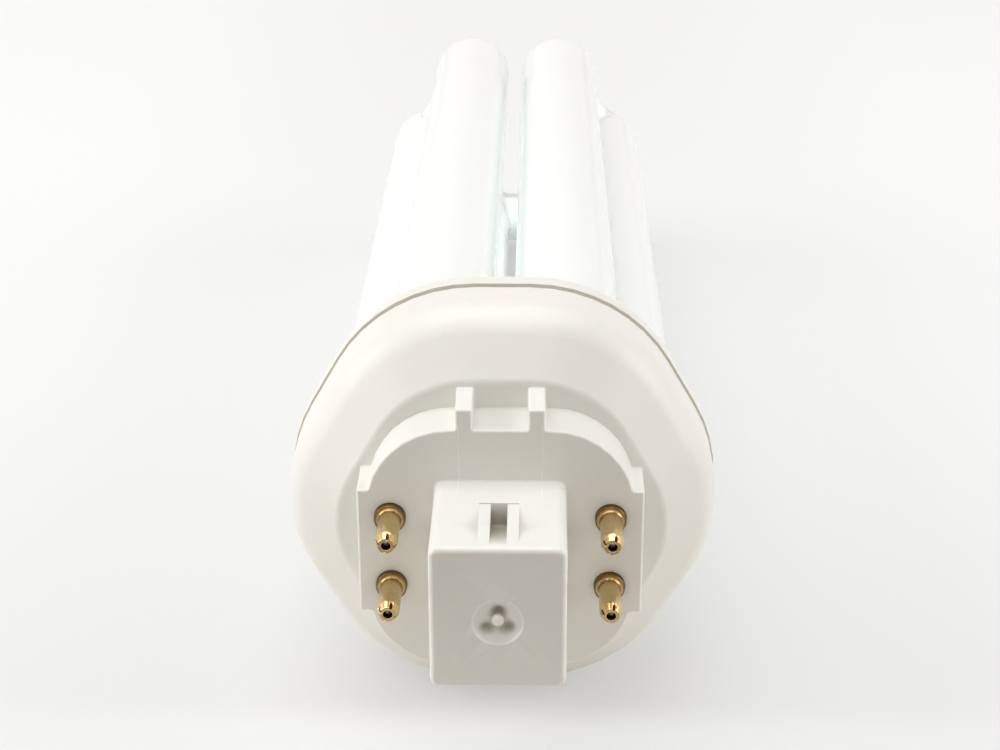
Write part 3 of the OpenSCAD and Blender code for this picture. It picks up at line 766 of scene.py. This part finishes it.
def make_pieces():
    dress(rounded_copy("moulded_cap", "cap_housing", cap_edge, 0.26, 3, soften_gate), "cap_plastic", "cap_housing")
    dress(rounded_copy("moulded_holder", "tube_holder", holder_edge, 0.15, 3), "cap_plastic", "tube_holder")

    tube = finish_mesh("glass_tubes", shift(turn_on_axis(tube_profile(), 88, False, worked_glass), x=TUBE_REACH), GLASS)
    grow(tube, ROUND_THE_AXIS, GLASS, Count=6, First_angle=0.0, Step_angle=60.0)
    dress(tube, "coated_glass", "discharge_tube")
    for name, y, count, first in (("outer_bridges", FAR_BRIDGE_Y, 3, 30.0), ("inner_bridges", NEAR_BRIDGE_Y, 2, 210.0)):
        neck = finish_mesh(name, shift(bridge_form(), y=y), GLASS, 60)
        grow(neck, ROUND_THE_AXIS, GLASS, Count=count, First_angle=first, Step_angle=120.0)
        dress(neck, "coated_glass", "discharge_tube")
    stem = finish_mesh("exhaust_stems", shift(stem_form(), x=TUBE_REACH), GLASS, 50)
    grow(stem, ROUND_THE_AXIS, GLASS, Count=2, First_angle=60.0, Step_angle=60.0)
    dress(stem, "coated_glass", "discharge_tube")

    cement = finish_mesh("cement_rings", shift(cement_form(), x=TUBE_REACH), CEMENT, 50)
    grow(cement, ROUND_THE_AXIS, CEMENT, Count=6, First_angle=0.0, Step_angle=60.0)
    dress(cement, "socket_cement", *["socket_cement_%d" % i for i in range(1, 7)])

    pins = finish_mesh("brass_pins", pin_form(), BRASS, 40)
    grow(pins, ON_A_RECTANGLE, BRASS, Width=PIN_X * MM, Height=PIN_Z * MM, Seed=3)
    dress(pins, "pin_brass", *["contact_pin_%d" % i for i in range(1, 5)])

    for i, (x, z) in enumerate([(-1, 1), (-1, -1), (1, 1), (1, -1)], 1):
        path = wire_path(x, z)
        mesh = bpy.data.meshes.new("lead_%d" % i)
        path.to_mesh(mesh)
        path.free()
        lead = bpy.data.objects.new("lead_%d" % i, mesh)
        bpy.context.scene.collection.objects.link(lead)
        grow(lead, WIRE_ALONG_PATH, WIRE, Radius=WIRE_R * MM, Sides=20)
        lead.data.shade_smooth()
        lead.data.set_sharp_from_angle(angle=math.radians(50))
        dress(lead, "tinned_wire", "lead_wire_%d" % i)


make_pieces()

# The solids carry the same finishes
for title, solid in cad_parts.items():
    kind = title.rstrip("_123456")
    finish = {"cap_housing": PLASTIC, "tube_holder": PLASTIC, "discharge_tube": GLASS,
              "contact_pin": BRASS, "lead_wire": WIRE, "socket_cement": CEMENT}[kind]
    solid.data.materials.clear()
    solid.data.materials.append(finish)


# The table, the light and the camera

def make_table():
    """A wide white sheet that the lamp lies on, touching its holder's lip and its lower tubes."""
    mesh = bpy.data.meshes.new("table")
    rise = 0.0359
    level = lambda y: (-22.99 + (y - 20.5) * rise) * MM
    far, near, wide = 6000.0, -6000.0, 6.0
    mesh.from_pydata([(-wide, near * MM, level(near)), (wide, near * MM, level(near)),
                      (wide, far * MM, level(far)), (-wide, far * MM, level(far))], [], [(0, 1, 2, 3)])
    table = bpy.data.objects.new("table", mesh)
    bpy.context.scene.collection.objects.link(table)
    material = bpy.data.materials.new("white_table")
    material.use_nodes = True
    tree = material.node_tree
    shader = tree.nodes["Principled BSDF"]
    x, y, z = axes_of(tree, node(tree, "ShaderNodeTexCoord").outputs["Object"])
    # for all rays but the camera's the sheet is darker in front of the lamp, standing in for a dim room there, so the
    # lamp's forward faces get less light
    there = maths(tree, "MAXIMUM", span(tree, y, -0.06, -0.025),
                  node(tree, "ShaderNodeLightPath").outputs["Is Camera Ray"])
    white = blend_colour(tree, seen_rays(tree), (0.87, 0.84, 0.79, 1), (0.41, 0.40, 0.385, 1))
    put(shader.inputs["Base Color"], blend_colour(tree, there, (0.37, 0.35, 0.32, 1), white))
    shader.inputs["Roughness"].default_value = 0.7
    shader.inputs["Specular IOR Level"].default_value = 0.2
    shader.inputs["Emission Color"].default_value = (0.935, 0.96, 0.975, 1)
    # painted shadow: it is a little less bright beside the lamp and under its collar; it is also a little less bright
    # close to the camera
    beside = maths(tree, "MULTIPLY", span(tree, maths(tree, "ABSOLUTE", x), 0.09, 0.02),
                   maths(tree, "MULTIPLY", span(tree, y, 0.001, 0.008), span(tree, y, 0.6, 0.2)))
    under = maths(tree, "MULTIPLY", span(tree, maths(tree, "ABSOLUTE", x), 0.03, 0.01),
                  maths(tree, "MULTIPLY", span(tree, y, 0.002, 0.009), span(tree, y, 0.06, 0.03)))
    shown = maths(tree, "MULTIPLY_ADD", beside, -0.05, span(tree, y, 0.0, 0.11, 0.50, 0.545))
    shown = maths(tree, "MULTIPLY_ADD", under, -0.07, shown)
    # less light reaches it far in front of the lamp, where only views from behind show it
    shown = maths(tree, "MULTIPLY_ADD", span(tree, y, -0.15, -0.7), 0.3, shown)
    put(shader.inputs["Emission Strength"], maths(tree, "MULTIPLY", maths(
        tree, "MULTIPLY", seen_rays(tree), there), shown))
    mesh.materials.append(material)


def seen_rays(tree):
    """1 for the rays that show the surroundings: straight, in a reflection or through glass."""
    path = node(tree, "ShaderNodeLightPath").outputs
    return maths(tree, "MAXIMUM", path["Is Camera Ray"],
                 maths(tree, "MAXIMUM", path["Is Glossy Ray"], path["Is Transmission Ray"]))


def make_light(name, where, towards, size, watts, colour=(1.0, 1.0, 1.0)):
    data = bpy.data.lights.new(name, "AREA")
    data.shape = "DISK"
    data.size = size
    data.energy = watts
    data.color = colour
    lamp = bpy.data.objects.new(name, data)
    lamp.location = where
    lamp.rotation_mode = "QUATERNION"
    lamp.rotation_quaternion = (Vector(towards) - Vector(where)).to_track_quat("-Z", "Y")
    bpy.context.scene.collection.objects.link(lamp)
    return lamp


def make_camera():
    right = Vector((0.9998, 0.0182, -0.0020))
    up = Vector((-0.0055, 0.4024, 0.9155))
    forward = Vector((-0.0175, 0.9153, -0.4024))
    turn = Matrix((right, up, -forward)).transposed()
    data = bpy.data.cameras.new("camera")
    data.sensor_width = 36.0
    data.lens = 1990.3 / 1000 * 36.0
    data.clip_start = 0.01
    data.clip_end = 20.0
    camera = bpy.data.objects.new("camera", data)
    camera.matrix_world = Matrix.Translation(Vector((3.51, -183.72, 100.99)) * MM) @ turn.to_4x4()
    bpy.context.scene.collection.objects.link(camera)
    bpy.context.scene.camera = camera


def make_world():
    world = bpy.data.worlds.new("world")
    world.use_nodes = True
    tree = world.node_tree
    light = tree.nodes["Background"]
    light.inputs["Color"].default_value = (1.0, 0.94, 0.885, 1)
    put(light.inputs["Strength"], maths(tree, "MULTIPLY_ADD", seen_rays(tree), 0.635, 0.325))
    bpy.context.scene.world = world


make_table()
make_light("sky_panel", (-0.15, -0.06, 0.75), (0.0, 0.03, 0.0), 0.9, 3.1, (0.98, 0.995, 1.0))
make_light("left_panel", (-0.75, 0.02, 0.35), (0.0, 0.05, 0.0), 0.6, 3.7)
make_light("right_panel", (0.75, 0.02, 0.32), (0.0, 0.05, 0.0), 0.6, 3.2)
# a panel that only polished metal and glass show
make_light("gloss_panel", (-0.05, 0.3, 0.8), (0.0, 0.0, 0.0), 0.9, 3.5).visible_diffuse = False
make_camera()
make_world()
bpy.context.scene.view_settings.view_transform = "Standard"
